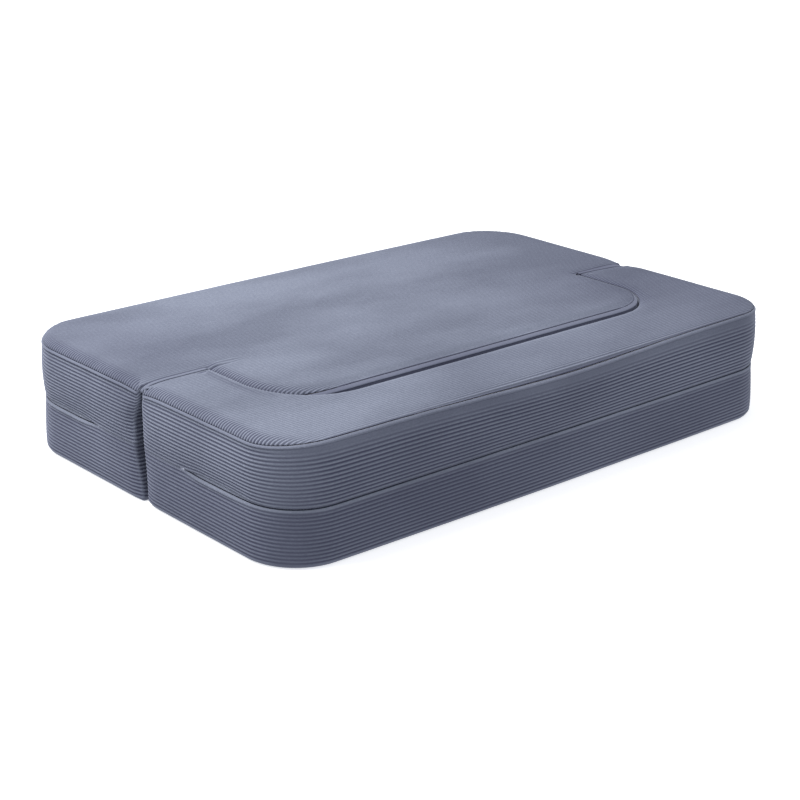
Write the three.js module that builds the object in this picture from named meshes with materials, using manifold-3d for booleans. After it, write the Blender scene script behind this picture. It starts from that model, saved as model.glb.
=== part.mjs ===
// Fold-over floor sofa bed, opened flat as a bed. Millimetres, +Z up.
// A T-shaped seat cushion lies behind, and its tongue fills the opening of a U-shaped backrest
// cushion in front. Two fabric strips join the cushions along the tops of the two arm ends, and
// the U turns up and over on them to lie on the T as a backrest with two arms.
// The origin is on the floor, under the middle of that hinge line. +X runs along the hinge line
// and -Y points at the outer face of the backrest cushion.
import * as THREE from "three";
import { mergeVertices } from "three/addons/utils/BufferGeometryUtils.js";
import Module from "manifold-3d";

// Driving dimensions
const LENGTH = 1420; // along the hinge line
const DEPTH = 472; // hinge line to the outer face of either cushion, near its corners
const BOW = 6; // what the long outer faces gain in their middle
const HEIGHT = 259; // floor to the crown
const ARM = 163; // width of an arm of the U
const OPENING_REACH = 280; // hinge line to the back of the U's opening
const TONGUE_REACH = 272; // hinge line to the front of the tongue
const TONGUE_SIDE_GAP = 6;
const HINGE_HALF_GAP = 6; // hinge line to the end faces of both cushions, at the top seam
const SEAT_CORNER = 129; // plan radii
const BACKREST_CORNER = 118;
const OPENING_CORNER = 161;
const TONGUE_CORNER = 155;
const SEAT_END_CORNER = 12;
const ARM_END_CORNER = 9;
const NOTCH_CORNER = 8;
const COVER = 2.5; // thickness of the ribbed velvet with its backing
const SEWN_GAP = 0.3; // left between pieces that are sewn or laid together
const SEAM_GAP = 0.6; // left along the top seam, which rises and falls
const PUFF = 5; // how far a band stands out between its seams
const SEAT_ZIP_END = 160; // hinge line to either end of the seat's zip
const BACKREST_ZIP_END = 140;

const HALF = LENGTH / 2;
const TONGUE_HALF = HALF - ARM - TONGUE_SIDE_GAP;
const OPENING_HALF = HALF - ARM;

// Heights. The top seam sits lower on the short faces, where the panel wraps over the edge.
const SEAM_LONG = 255.5;
const SEAM_SHORT = 248;
const BASE_SEAM = 4;
const ZIP = 121.5;
const LIP_GAP = 7.5; // zip line to the edge of either band
const LIP_LOW = ZIP - LIP_GAP;
const LIP_HIGH = ZIP + LIP_GAP;
const ZIP_RAMP = 12; // length over which the lips part at a zip's end
const BAY = 32; // length at a zip's right end that the placket leaves bare

// Corners of the two plans, counter-clockwise. Each holds the face that leaves it: where that
// face has extra stations, how much it puffs, and whether it is an outer face, which has the zip.
const LONG_STOPS = [400, 200, 0, -200, -400];
function side(end, direction) {
  const along = [end, end + ZIP_RAMP, end + ZIP_RAMP + BAY];
  return direction > 0 ? along : along.map((y) => -y).reverse();
}
const SEAT = [
  { at: [HALF, DEPTH], radius: SEAT_CORNER, steps: 6, stops: LONG_STOPS, puff: 1, outer: true },
  {
    at: [-HALF, DEPTH],
    radius: SEAT_CORNER,
    steps: 6,
    stops: side(SEAT_ZIP_END - ZIP_RAMP, 1).reverse(),
    puff: 1,
    outer: true,
  },
  { at: [-HALF, HINGE_HALF_GAP], radius: SEAT_END_CORNER, steps: 3, stops: [-600], puff: -2 },
  { at: [-TONGUE_HALF, HINGE_HALF_GAP], radius: NOTCH_CORNER, steps: 3, stops: [-56], puff: -0.4 },
  {
    at: [-TONGUE_HALF, -TONGUE_REACH],
    radius: TONGUE_CORNER,
    steps: 7,
    stops: [-190, 0, 190],
    puff: -0.4,
  },
  { at: [TONGUE_HALF, -TONGUE_REACH], radius: TONGUE_CORNER, steps: 7, stops: [-56], puff: -0.4 },
  { at: [TONGUE_HALF, HINGE_HALF_GAP], radius: NOTCH_CORNER, steps: 3, stops: [600], puff: -2 },
  {
    at: [HALF, HINGE_HALF_GAP],
    radius: SEAT_END_CORNER,
    steps: 3,
    stops: side(SEAT_ZIP_END - ZIP_RAMP, 1),
    puff: 1,
    outer: true,
  },
];
const BACKREST = [
  {
    at: [-HALF, -DEPTH],
    radius: BACKREST_CORNER,
    steps: 6,
    stops: LONG_STOPS.map((x) => -x),
    puff: 1,
    outer: true,
  },
  {
    at: [HALF, -DEPTH],
    radius: BACKREST_CORNER,
    steps: 6,
    stops: side(BACKREST_ZIP_END - ZIP_RAMP, -1),
    puff: 1,
    outer: true,
  },
  { at: [HALF, -HINGE_HALF_GAP], radius: ARM_END_CORNER, steps: 3, stops: [628], puff: 0.4 },
  { at: [OPENING_HALF, -HINGE_HALF_GAP], radius: ARM_END_CORNER, steps: 3, stops: [-104], puff: -0.4 },
  {
    at: [OPENING_HALF, -OPENING_REACH],
    radius: OPENING_CORNER,
    steps: 7,
    stops: [190, 0, -190],
    puff: -0.4,
  },
  {
    at: [-OPENING_HALF, -OPENING_REACH],
    radius: OPENING_CORNER,
    steps: 7,
    stops: [-104],
    puff: -0.4,
  },
  { at: [-OPENING_HALF, -HINGE_HALF_GAP], radius: ARM_END_CORNER, steps: 3, stops: [-628], puff: 0.4 },
  {
    at: [-HALF, -HINGE_HALF_GAP],
    radius: ARM_END_CORNER,
    steps: 3,
    stops: side(BACKREST_ZIP_END - ZIP_RAMP, -1).reverse(),
    puff: 1,
    outer: true,
  },
];

// Stations around a plan, moved inwards by inset. Every inset of one plan has the same stations,
// so rings made from them join one to one. An inner outline has half the steps at each corner,
// and lies further in along the faces whose bands are drawn in.
const LEAST_RADIUS = 2;
function outline(plan, inset, inner = false) {
  const count = plan.length;
  const directions = plan.map((corner, i) => {
    const next = plan[(i + 1) % count].at;
    return [Math.sign(next[0] - corner.at[0]), Math.sign(next[1] - corner.at[1])];
  });
  const stations = [];
  plan.forEach((corner, i) => {
    const before = plan[(i + count - 1) % count];
    const a = directions[(i + count - 1) % count];
    const b = directions[i];
    const turn = a[0] * b[1] - a[1] * b[0];
    const insetA = inset + (inner ? PUFF * Math.max(0, -before.puff) : 0);
    const insetB = inset + (inner ? PUFF * Math.max(0, -corner.puff) : 0);
    const radius = Math.max(corner.radius - (turn * (insetA + insetB)) / 2, LEAST_RADIUS);
    const x = corner.at[0] - insetA * a[1] - insetB * b[1];
    const y = corner.at[1] + insetA * a[0] + insetB * b[0];
    const centre = [x - a[0] * radius + b[0] * radius, y - a[1] * radius + b[1] * radius];
    const steps = inner ? Math.ceil(corner.steps / 2) : corner.steps;
    for (let k = 0; k <= steps; k++) {
      const angle = ((Math.PI / 2) * k) / steps;
      const normal = [
        a[1] * Math.cos(angle) + b[1] * Math.sin(angle),
        -a[0] * Math.cos(angle) - b[0] * Math.sin(angle),
      ];
      stations.push({
        x: centre[0] + turn * radius * normal[0],
        y: centre[1] + turn * radius * normal[1],
        normal,
        puff: THREE.MathUtils.lerp(before.puff, corner.puff, k / steps),
        outer: Boolean(before.outer && corner.outer),
      });
    }
    for (const stop of corner.stops)
      stations.push({
        x: b[0] ? stop : x,
        y: b[1] ? stop : y,
        normal: [b[1], -b[0]],
        puff: corner.puff,
        outer: Boolean(corner.outer),
      });
  });
  return stations;
}

// The middle of each long face bows out, and everything inside bows with it.
function bowed(x, y, z) {
  const middle = Math.max(0, 1 - (x / HALF) ** 2);
  return [x, y + Math.sign(y) * BOW * middle * (y / DEPTH) ** 2, z];
}

function seamHeight(station) {
  return SEAM_LONG + (SEAM_SHORT - SEAM_LONG) * station.normal[0] ** 2;
}

// A closed surface through rings of equal length. wrap joins the last ring to the first, as in a
// band; otherwise both end rings are capped.
function ringSolid(rings, { wrap = false, open = false } = {}) {
  const around = rings[0].length;
  const points = rings.flat();
  const faces = [];
  const last = wrap ? rings.length : rings.length - 1;
  for (let k = 0; k < last; k++)
    for (let j = 0; j < (open ? around - 1 : around); j++) {
      const a = k * around + j;
      const b = k * around + ((j + 1) % around);
      const c = ((k + 1) % rings.length) * around + ((j + 1) % around);
      const d = ((k + 1) % rings.length) * around + j;
      faces.push([a, b, c], [a, c, d]);
    }
  if (!wrap) {
    capFaces(rings[0], 0, false, faces);
    capFaces(rings.at(-1), (rings.length - 1) * around, true, faces);
  }
  if (open) {
    sectionFaces(rings, 0, true, faces);
    sectionFaces(rings, around - 1, false, faces);
  }
  return geometryOf(points, faces);
}

function capFaces(ring, offset, up, faces) {
  const contour = ring.map(([x, y]) => new THREE.Vector2(x, y));
  for (const [a, b, c] of THREE.ShapeUtils.triangulateShape(contour, [])) {
    const area = THREE.ShapeUtils.area([contour[a], contour[b], contour[c]]);
    const kept = area > 0 === up ? [a, b, c] : [a, c, b];
    faces.push(kept.map((index) => index + offset));
  }
}

// Closes the end of an open strip: its section is the column of points at one station, and runs
// counter-clockwise when seen with the outward side on the right.
function sectionFaces(rings, station, start, faces) {
  const around = rings[0].length;
  const column = rings.map((ring) => new THREE.Vector3(...ring[station]));
  const outward = new THREE.Vector3().subVectors(column[0], column.at(-1)).setZ(0).normalize();
  const contour = column.map((p) => new THREE.Vector2(p.dot(outward), p.z));
  if (THREE.ShapeUtils.area(contour) < 0) contour.forEach((p) => (p.x = -p.x));
  for (const [a, b, c] of THREE.ShapeUtils.triangulateShape(contour, [])) {
    const forward = THREE.ShapeUtils.area([contour[a], contour[b], contour[c]]) > 0;
    const kept = forward === start ? [a, b, c] : [a, c, b];
    faces.push(kept.map((ring) => ring * around + station));
  }
}

function geometryOf(points, faces) {
  const geometry = new THREE.BufferGeometry();
  geometry.setAttribute("position", new THREE.Float32BufferAttribute(points.flat(), 3));
  geometry.setIndex(faces.flat());
  geometry.computeVertexNormals();
  return geometry;
}

// Joins and cuts
const wasm = await Module();
wasm.setup();

function solid(geometry) {
  const bare = geometry.clone();
  bare.deleteAttribute("normal");
  bare.deleteAttribute("uv");
  const merged = mergeVertices(bare, 1e-4);
  return new wasm.Manifold(
    new wasm.Mesh({
      numProp: 3,
      vertProperties: new Float32Array(merged.attributes.position.array),
      triVerts: new Uint32Array(merged.index.array),
    }),
  );
}

function geometryFrom(manifold) {
  const mesh = manifold.getMesh();
  const geometry = new THREE.BufferGeometry();
  geometry.setAttribute("position", new THREE.BufferAttribute(mesh.vertProperties, 3));
  geometry.setIndex(new THREE.BufferAttribute(mesh.triVerts, 1));
  geometry.computeVertexNormals();
  return geometry;
}

// Materials
function finish(colour, roughness, metalness = 0) {
  return new THREE.MeshStandardMaterial({ color: colour, roughness, metalness });
}
const VELVET = finish(0x7d839c, 0.9);
const NON_SLIP = finish(0x3a3d48, 0.85);
const LINER = finish(0xe9e8e4, 0.9);
const SOFT_FOAM = finish(0xf1ead2, 0.95);
const FIRM_FOAM = finish(0xd9dde0, 0.95);
const TAPE = finish(0x555b70, 0.8);
const ZIP_METAL = finish(0x8d8f96, 0.35, 0.9);

const sofaBed = new THREE.Group();
function add(group, name, geometry, material) {
  const mesh = new THREE.Mesh(geometry, material);
  mesh.name = name;
  group.add(mesh);
}

// Top panel: a thin dish that rolls over at its seam and rises to a low crown.
const CROWN = [
  [70, 1],
  [35, 0.95],
  [14, 0.8],
  [5, 0.5],
]; // inset from the seam, and share of the height between seam and crown
function topPanel(plan) {
  const at = (inset, lift) =>
    outline(plan, inset).map((s) => bowed(s.x, s.y, lift(seamHeight(s))));
  const rings = [
    at(40, () => HEIGHT - COVER - 0.8),
    at(9, (seam) => seam + 0.62 * (HEIGHT - seam) - COVER),
    at(COVER, (seam) => seam),
    at(0, (seam) => seam),
    ...CROWN.toReversed().map(([inset, share]) =>
      at(inset, (seam) => seam + share * (HEIGHT - seam)),
    ),
  ];
  return ringSolid(rings);
}

// Base panel: a flat sheet on the floor whose edge turns up to the bottom seam.
function basePanel(plan) {
  const at = (inset, height) => outline(plan, inset).map((s) => bowed(s.x, s.y, height));
  return ringSolid([
    at(8, 0),
    at(2, 1),
    at(0, BASE_SEAM),
    at(COVER, BASE_SEAM),
    at(11, COVER),
  ]);
}

// A band runs right round a cushion. section lists [share of puff, height, wall] from the lower
// edge of its outer face over to its inner face. lip is the height of the zip's edge.
function band(plan, section) {
  const open = (s) => s.outer && Math.abs(s.y) > zipEnd(plan) - 1;
  const stations = outline(plan, 0);
  return ringSolid(
    section.map(([share, height, wall]) =>
      stations.map((s) => {
        const out = share * PUFF * s.puff - wall;
        const z = typeof height === "function" ? height(s, open(s)) : height;
        return bowed(s.x + out * s.normal[0], s.y + out * s.normal[1], z);
      }),
    ),
    { wrap: true },
  );
}

function zipEnd(plan) {
  return plan === SEAT ? SEAT_ZIP_END : BACKREST_ZIP_END;
}

function upperBand(plan) {
  const lip = (s, open) => (open ? LIP_HIGH : ZIP + SEWN_GAP / 2);
  const seam = (s) => seamHeight(s) - SEAM_GAP;
  return band(plan, [
    [0, lip, 0],
    [0.7, 150, 0],
    [1, 178, 0],
    [0.7, 214, 0],
    [0, seam, 0],
    [0, seam, COVER],
    [1, 178, COVER],
    [0, lip, COVER],
  ]);
}

function lowerBand(plan) {
  const lip = (s, open) => (open ? LIP_LOW : ZIP - SEWN_GAP / 2);
  return band(plan, [
    [0, BASE_SEAM + SEWN_GAP, 0],
    [0.7, 30, 0],
    [1, 66, 0],
    [0.7, 98, 0],
    [0, lip, 0],
    [0, lip, COVER],
    [1, 66, COVER],
    [0, BASE_SEAM + SEWN_GAP, COVER],
  ]);
}

// Liner and foam are rings of [inset, height].
const ZIP_RELIEF = 8.4; // inset beside the zip, where the slider's back plate runs
const RELIEF_HEIGHT = 11;
const INNER_LOW = [
  [12, 4],
  [6, 14],
  [ZIP_RELIEF, ZIP - RELIEF_HEIGHT],
];
const INNER_HIGH = [
  [ZIP_RELIEF, ZIP + RELIEF_HEIGHT],
  [6.4, 236],
  [30, 252],
];
const LINER_WALL = 0.8;
const LINER_TO_FOAM = 0.4;

function innerSolid(plan, rings, { shrink, base = 0, top = 0 }) {
  return ringSolid(
    rings.map(([inset, height], k) => {
      const rise = k === 0 ? base : k === rings.length - 1 ? -top : 0;
      return outline(plan, inset + shrink, true).map((s) => bowed(s.x, s.y, height + rise));
    }),
  );
}

// The liner is one thin bag. Its mouth, where the foam goes in, is a slot in the end of the
// right arm or beside the tongue's root, on the side that faces the hinge line.
function liner(plan) {
  const rings = [...INNER_LOW, ...INNER_HIGH];
  const outside = innerSolid(plan, rings, { shrink: 0 });
  const inside = innerSolid(plan, rings, { shrink: LINER_WALL, base: LINER_WALL, top: LINER_WALL });
  const mouth = new THREE.BoxGeometry(90, 60, 60).translate(
    HALF - ARM / 2,
    Math.sign(plan[0].at[1]) * HINGE_HALF_GAP,
    180,
  );
  return geometryFrom(solid(outside).subtract(solid(inside)).subtract(solid(mouth)));
}

// Foam: a firm block below, and a softer layer laid on it at the zip's height.
function supportFoam(plan) {
  const shrink = LINER_WALL + LINER_TO_FOAM;
  const rings = [...INNER_LOW, [ZIP_RELIEF, ZIP - SEWN_GAP / 2]];
  return innerSolid(plan, rings, { shrink, base: shrink });
}

function comfortFoam(plan) {
  const shrink = LINER_WALL + LINER_TO_FOAM;
  const rings = [[ZIP_RELIEF, ZIP + SEWN_GAP / 2], ...INNER_HIGH];
  return innerSolid(plan, rings, { shrink, top: shrink });
}

// A strip along the zip, between its two ends. section lists [depth behind the bands' outer
// edge, height]. bare leaves that length free at the right end.
function zipStrip(plan, section, bare) {
  const end = zipEnd(plan);
  const stations = outline(plan, 0);
  const first = stations.findIndex(
    (s, i) =>
      s.outer &&
      Math.abs(s.y) > end - 1 &&
      !(stations.at(i - 1).outer && Math.abs(stations.at(i - 1).y) > end - 1),
  );
  const turned = [...stations.slice(first), ...stations.slice(0, first)];
  let run = turned.filter((s) => s.outer && Math.abs(s.y) > end - 1);
  if (bare) run = run.filter((s) => s.x < HALF - 1 || Math.abs(s.y) > end + BAY - 1);
  const rings = section.map(([depth, height]) =>
    run.map((s) => bowed(s.x - depth * s.normal[0], s.y - depth * s.normal[1], height)),
  );
  return ringSolid(rings, { wrap: true, open: true });
}

// Depths behind the bands' outer edge, and heights from the zip line
const PLACKET_DEPTH = COVER + SEWN_GAP;
const PLACKET_WALL = 1;
const PLACKET_TUCK = 12;
const SLIT = 2.5; // between the placket's free edge and the lower lip
const TEETH_DEPTH = 4.1;
const TEETH_WALL = 2;
const TEETH_HEIGHT = 2.4;
const CHAIN_HALF_GAP = 0.6;
const TAPE_DEPTH = 4.6;
const TAPE_WALL = 1;
const TAPE_HEIGHT = 14;

function placket(plan) {
  return zipStrip(
    plan,
    [
      [PLACKET_DEPTH, LIP_LOW + SLIT],
      [PLACKET_DEPTH, ZIP + PLACKET_TUCK],
      [PLACKET_DEPTH + PLACKET_WALL, ZIP + PLACKET_TUCK],
      [PLACKET_DEPTH + PLACKET_WALL, LIP_LOW + SLIT],
    ],
    true,
  );
}

// One tape with its row of teeth, which lie along the zip line. up is 1 above it, -1 below.
function zipTape(plan, up) {
  const edge = ZIP + up * CHAIN_HALF_GAP;
  const teeth = edge + up * TEETH_HEIGHT;
  const far = edge + up * TAPE_HEIGHT;
  const section = [
    [TEETH_DEPTH, edge],
    [TEETH_DEPTH, teeth],
    [TAPE_DEPTH, teeth],
    [TAPE_DEPTH, far],
    [TAPE_DEPTH + TAPE_WALL, far],
    [TAPE_DEPTH + TAPE_WALL, teeth],
    [TEETH_DEPTH + TEETH_WALL, teeth],
    [TEETH_DEPTH + TEETH_WALL, edge],
  ];
  return zipStrip(plan, up > 0 ? section : section.toReversed(), false);
}

// A bar tack closes each end of a zip: a small block of stitching between the lips.
const TACK = { width: 4.5, wall: 2.8, clear: 0.5 };
function tack(plan, hand) {
  const away = Math.sign(plan[0].at[1]);
  const height = 2 * (LIP_GAP - TACK.clear);
  const y = away * (zipEnd(plan) + TACK.clear + TACK.width / 2);
  return new THREE.BoxGeometry(TACK.wall, TACK.width, height).translate(
    hand * (HALF - COVER + TACK.wall / 2),
    y,
    ZIP,
  );
}

// Zip slider: two plates round the chain, joined by a post, with two ears and a pin for the pull.
// It is modelled at the right end with +Y along the zip, and turned over for the backrest.
const SLIDER = { length: 14, half: 5, front: 1.2, back: 1, clear: 0.4, lip: 0.9 };
const SLIDER_FROM_END = 14; // zip's end to the middle of the parked slider
const PIN = { radius: 0.7, reach: 2.2, ear: 1, earInner: 2.6 };
const PULL = { length: 25, wall: 1.1, half: 3.2, eye: 1.9, bore: 1, window: 1.5 };

function box(width, depth, height, x, y, z) {
  return solid(new THREE.BoxGeometry(width, depth, height).translate(x, y, z));
}

function sliderGeometry() {
  const frontInner = -(TEETH_DEPTH - SLIDER.clear);
  const frontOuter = frontInner + SLIDER.front;
  const backInner = -(TEETH_DEPTH + TEETH_WALL + SLIDER.clear);
  const backOuter = backInner - SLIDER.back;
  const plate = (inner, outer) =>
    box(outer - inner, SLIDER.length, 2 * SLIDER.half, (inner + outer) / 2, 0, 0);
  const lipZ = SLIDER.half - SLIDER.lip / 2;
  const pinX = frontOuter + PIN.reach;
  const earX = (frontOuter + pinX + PIN.radius) / 2;
  const earWidth = pinX + PIN.radius - frontOuter + 0.4;
  const earZ = PIN.earInner + PIN.ear / 2;
  const pinGeometry = new THREE.CylinderGeometry(PIN.radius, PIN.radius, 2 * earZ, 10)
    .rotateX(Math.PI / 2)
    .translate(pinX, 0, 0);
  let made = plate(frontInner, frontOuter)
    .add(plate(backOuter, backInner))
    .add(box(frontOuter - backOuter, 3, 0.7, (frontOuter + backOuter) / 2, 5.2, 0))
    .add(solid(pinGeometry));
  for (const hand of [1, -1])
    made = made
      .add(box(0.6, SLIDER.length, SLIDER.lip, frontInner - 0.1, 0, hand * lipZ))
      .add(box(0.5, SLIDER.length, SLIDER.lip, backInner + 0.1, 0, hand * lipZ))
      .add(box(earWidth, 3.2, PIN.ear, earX, 0, hand * earZ));
  return geometryFrom(made);
}

function pullGeometry() {
  const pinX = -(TEETH_DEPTH - SLIDER.clear) + SLIDER.front + PIN.reach;
  const width = 2 * (PIN.earInner - 0.4);
  const eye = new THREE.Shape().absarc(0, 0, PULL.eye, 0, 2 * Math.PI, false);
  eye.holes.push(new THREE.Path().absarc(0, 0, PULL.bore, 0, 2 * Math.PI, true));
  const ring = new THREE.ExtrudeGeometry(eye, {
    depth: width,
    bevelEnabled: false,
    curveSegments: 10,
  }).translate(0, 0, -width / 2);
  const neck = 6;
  const tab = new THREE.Shape();
  tab.moveTo(-PULL.half, neck);
  tab.lineTo(-PULL.half, PULL.length - PULL.half);
  tab.absarc(0, PULL.length - PULL.half, PULL.half, Math.PI, 0, true);
  tab.lineTo(PULL.half, neck);
  const plate = new THREE.ExtrudeGeometry(tab, {
    depth: PULL.wall,
    bevelEnabled: false,
    curveSegments: 8,
  })
    .rotateY(Math.PI / 2)
    .translate(-PULL.wall / 2, 0, 0);
  const window = new THREE.CylinderGeometry(PULL.window, PULL.window, 4, 12)
    .rotateZ(Math.PI / 2)
    .translate(0, PULL.length - PULL.half, 0);
  const start = (PULL.bore + PULL.eye) / 2;
  const stem = box(PULL.wall, neck + 0.2 - start, width, 0, (start + neck + 0.2) / 2, 0);
  const made = solid(ring).add(stem).add(solid(plate)).subtract(solid(window));
  return geometryFrom(made).translate(pinX, 0, 0);
}

// Hinge strip: doubled fabric across the gap between the arm end and the seat, sunk a little
// between its two seams.
const STRIP = { inner: OPENING_HALF + 2, outer: HALF - 5, sag: 1.2 };
function hingeStrip(hand) {
  const half = HINGE_HALF_GAP - SEWN_GAP;
  const top = SEAM_LONG - SEWN_GAP;
  const profile = new THREE.Shape();
  profile.moveTo(-half, top);
  profile.lineTo(-half, top - COVER);
  profile.lineTo(-half / 3, top - COVER - STRIP.sag);
  profile.lineTo(half / 3, top - COVER - STRIP.sag);
  profile.lineTo(half, top - COVER);
  profile.lineTo(half, top);
  profile.lineTo(half / 3, top - STRIP.sag);
  profile.lineTo(-half / 3, top - STRIP.sag);
  profile.closePath();
  const length = STRIP.outer - STRIP.inner;
  return new THREE.ExtrudeGeometry(profile, { depth: length, bevelEnabled: false, steps: 4 })
    .rotateX(Math.PI / 2)
    .rotateZ(Math.PI / 2)
    .translate(hand > 0 ? STRIP.inner : -STRIP.outer, 0, 0);
}

// Assembly
for (const [prefix, plan] of [
  ["seat", SEAT],
  ["backrest", BACKREST],
]) {
  const cushion = new THREE.Group();
  const velvetBase = plan === SEAT ? NON_SLIP : VELVET;
  add(cushion, `${prefix}_top_panel`, topPanel(plan), VELVET);
  add(cushion, `${prefix}_upper_band`, upperBand(plan), VELVET);
  add(cushion, `${prefix}_lower_band`, lowerBand(plan), VELVET);
  add(cushion, `${prefix}_base_panel`, basePanel(plan), velvetBase);
  add(cushion, `${prefix}_liner`, liner(plan), LINER);
  add(cushion, `${prefix}_comfort_foam`, comfortFoam(plan), SOFT_FOAM);
  add(cushion, `${prefix}_support_foam`, supportFoam(plan), FIRM_FOAM);
  add(cushion, `${prefix}_zip_placket`, placket(plan), VELVET);
  add(cushion, `${prefix}_upper_zip_tape`, zipTape(plan, 1), TAPE);
  add(cushion, `${prefix}_lower_zip_tape`, zipTape(plan, -1), TAPE);
  add(cushion, `${prefix}_left_zip_tack`, tack(plan, -1), TAPE);
  add(cushion, `${prefix}_right_zip_tack`, tack(plan, 1), TAPE);

  const runner = new THREE.Group();
  const away = Math.sign(plan[0].at[1]);
  runner.position.set(HALF, away * (zipEnd(plan) + SLIDER_FROM_END), ZIP);
  if (away < 0) runner.rotation.x = Math.PI;
  add(runner, `${prefix}_zip_slider`, sliderGeometry(), ZIP_METAL);
  add(runner, `${prefix}_zip_pull`, pullGeometry(), ZIP_METAL);
  cushion.add(runner);
  sofaBed.add(cushion);
}
add(sofaBed, "left_hinge_strip", hingeStrip(-1), VELVET);
add(sofaBed, "right_hinge_strip", hingeStrip(1), VELVET);

export default sofaBed;
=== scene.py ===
import math

import bmesh
import bpy
import numpy as np
from mathutils import Matrix, Vector, noise
from mathutils.kdtree import KDTree


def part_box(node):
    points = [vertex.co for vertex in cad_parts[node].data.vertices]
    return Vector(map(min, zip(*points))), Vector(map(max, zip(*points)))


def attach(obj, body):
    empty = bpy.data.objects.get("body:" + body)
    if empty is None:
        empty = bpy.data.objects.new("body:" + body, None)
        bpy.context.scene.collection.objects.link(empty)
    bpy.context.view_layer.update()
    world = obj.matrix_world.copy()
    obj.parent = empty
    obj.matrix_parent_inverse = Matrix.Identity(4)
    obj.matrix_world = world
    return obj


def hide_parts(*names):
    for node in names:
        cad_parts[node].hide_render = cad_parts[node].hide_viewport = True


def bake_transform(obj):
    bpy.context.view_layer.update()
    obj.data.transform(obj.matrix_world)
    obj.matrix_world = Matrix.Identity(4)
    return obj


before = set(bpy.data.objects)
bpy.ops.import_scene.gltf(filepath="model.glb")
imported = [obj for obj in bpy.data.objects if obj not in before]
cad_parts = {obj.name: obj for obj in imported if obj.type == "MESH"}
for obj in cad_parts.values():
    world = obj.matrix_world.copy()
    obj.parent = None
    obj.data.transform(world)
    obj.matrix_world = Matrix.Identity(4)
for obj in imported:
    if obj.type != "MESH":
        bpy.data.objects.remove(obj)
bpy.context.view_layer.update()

# Camera
# A long lens looks down on the near left corner of the bed, from as far away as in the
# photograph. Its place and turn were fitted to the bed's outline, seams and corners.
SENSOR = 36.0
FOCAL_LENGTH = 81.03
CAMERA_PLACE = (-2.5375, -2.8921, 1.4620)
CAMERA_YAW = 0.7160
CAMERA_PITCH = 0.3498
CAMERA_ROLL = 0.0054

camera = bpy.data.objects.new("camera", bpy.data.cameras.new("camera"))
bpy.context.scene.collection.objects.link(camera)
turn = (
    Matrix.Rotation(CAMERA_ROLL, 3, "Y")
    @ Matrix.Rotation(CAMERA_PITCH, 3, "X")
    @ Matrix.Rotation(CAMERA_YAW, 3, "Z")
)
right, ahead, up = turn.row
facing = Matrix((right, up, -ahead)).transposed().to_4x4()
camera.matrix_world = Matrix.Translation(CAMERA_PLACE) @ facing
camera.data.sensor_width = SENSOR
camera.data.lens = FOCAL_LENGTH
bpy.context.scene.camera = camera


# Floor and studio light
# A lit sweep of white paper under the bed, and one large soft box above its far left side. The
# paper throws no light back, so the sides of the bed fall off as they do in the photograph.
FLOOR_SIDE = 16.0
FLOOR_COLOUR = (0.88, 0.88, 0.88, 1)
FLOOR_GLOW = 0.62
SKY_COLOUR = (0.90, 0.93, 1.0, 1)
SKY_STRENGTH = 0.66
SOFT_BOX_PLACE = (-1.7, 1.1, 3.4)
SOFT_BOX_AIM = (0, 0, 0.1)
SOFT_BOX_SIZE = (2.2, 2.2)
SOFT_BOX_POWER = 165


def make_material(name, colour, roughness, metallic=0.0):
    material = bpy.data.materials.new(name)
    material.use_nodes = True
    shader = material.node_tree.nodes["Principled BSDF"]
    shader.inputs["Base Color"].default_value = (*colour[:3], 1)
    shader.inputs["Roughness"].default_value = roughness
    shader.inputs["Metallic"].default_value = metallic
    return material


def object_from(bm, name, material=None):
    """A smooth object of one material from a finished bmesh."""
    mesh = bpy.data.meshes.new(name)
    bm.to_mesh(mesh)
    bm.free()
    mesh.shade_smooth()
    if material:
        mesh.materials.append(material)
    obj = bpy.data.objects.new(name, mesh)
    bpy.context.scene.collection.objects.link(obj)
    return obj


soft_box = bpy.data.objects.new("soft_box", bpy.data.lights.new("soft_box", "AREA"))
soft_box.data.shape = "RECTANGLE"
soft_box.data.size, soft_box.data.size_y = SOFT_BOX_SIZE
soft_box.data.energy = SOFT_BOX_POWER
aim = (Vector(SOFT_BOX_AIM) - Vector(SOFT_BOX_PLACE)).to_track_quat("-Z", "Y")
soft_box.matrix_world = Matrix.Translation(SOFT_BOX_PLACE) @ aim.to_matrix().to_4x4()
bpy.context.scene.collection.objects.link(soft_box)
world = bpy.data.worlds.new("studio")
world.use_nodes = True
sky = world.node_tree.nodes["Background"].inputs
sky["Color"].default_value = SKY_COLOUR
sky["Strength"].default_value = SKY_STRENGTH
bpy.context.scene.world = world
bpy.context.scene.view_settings.view_transform = "Standard"

paper = make_material("paper", FLOOR_COLOUR, 0.9)
glow = paper.node_tree.nodes["Principled BSDF"].inputs
glow["Emission Color"].default_value = (1, 1, 1, 1)
glow["Emission Strength"].default_value = FLOOR_GLOW
floor_mesh = bmesh.new()
bmesh.ops.create_grid(floor_mesh, x_segments=1, y_segments=1, size=FLOOR_SIDE / 2)
floor = object_from(floor_mesh, "floor", paper)
floor.visible_diffuse = False


# Plans of the two cushions
# The seat cushion is cut as a T and the backrest cushion as a U. Both have rounded upright edges,
# and their long outer faces bow out a little in the middle. The zip runs half way up the sides.
SEAT_LOW, SEAT_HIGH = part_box("seat_top_panel")
_, BACK_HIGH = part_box("backrest_top_panel")
HALF = SEAT_HIGH.x
CROWN = SEAT_HIGH.z
BOW = 0.006
DEPTH = SEAT_HIGH.y - BOW
HINGE_GAP = -BACK_HIGH.y
ARM = 0.163
OPENING_HALF = HALF - ARM
TONGUE_HALF = OPENING_HALF - 0.006
TONGUE_RIGHT = TONGUE_HALF + 0.003
TONGUE_FRONT = SEAT_LOW.y + 0.002
OPENING_FRONT = -0.284
ZIP = 0.1215
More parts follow.
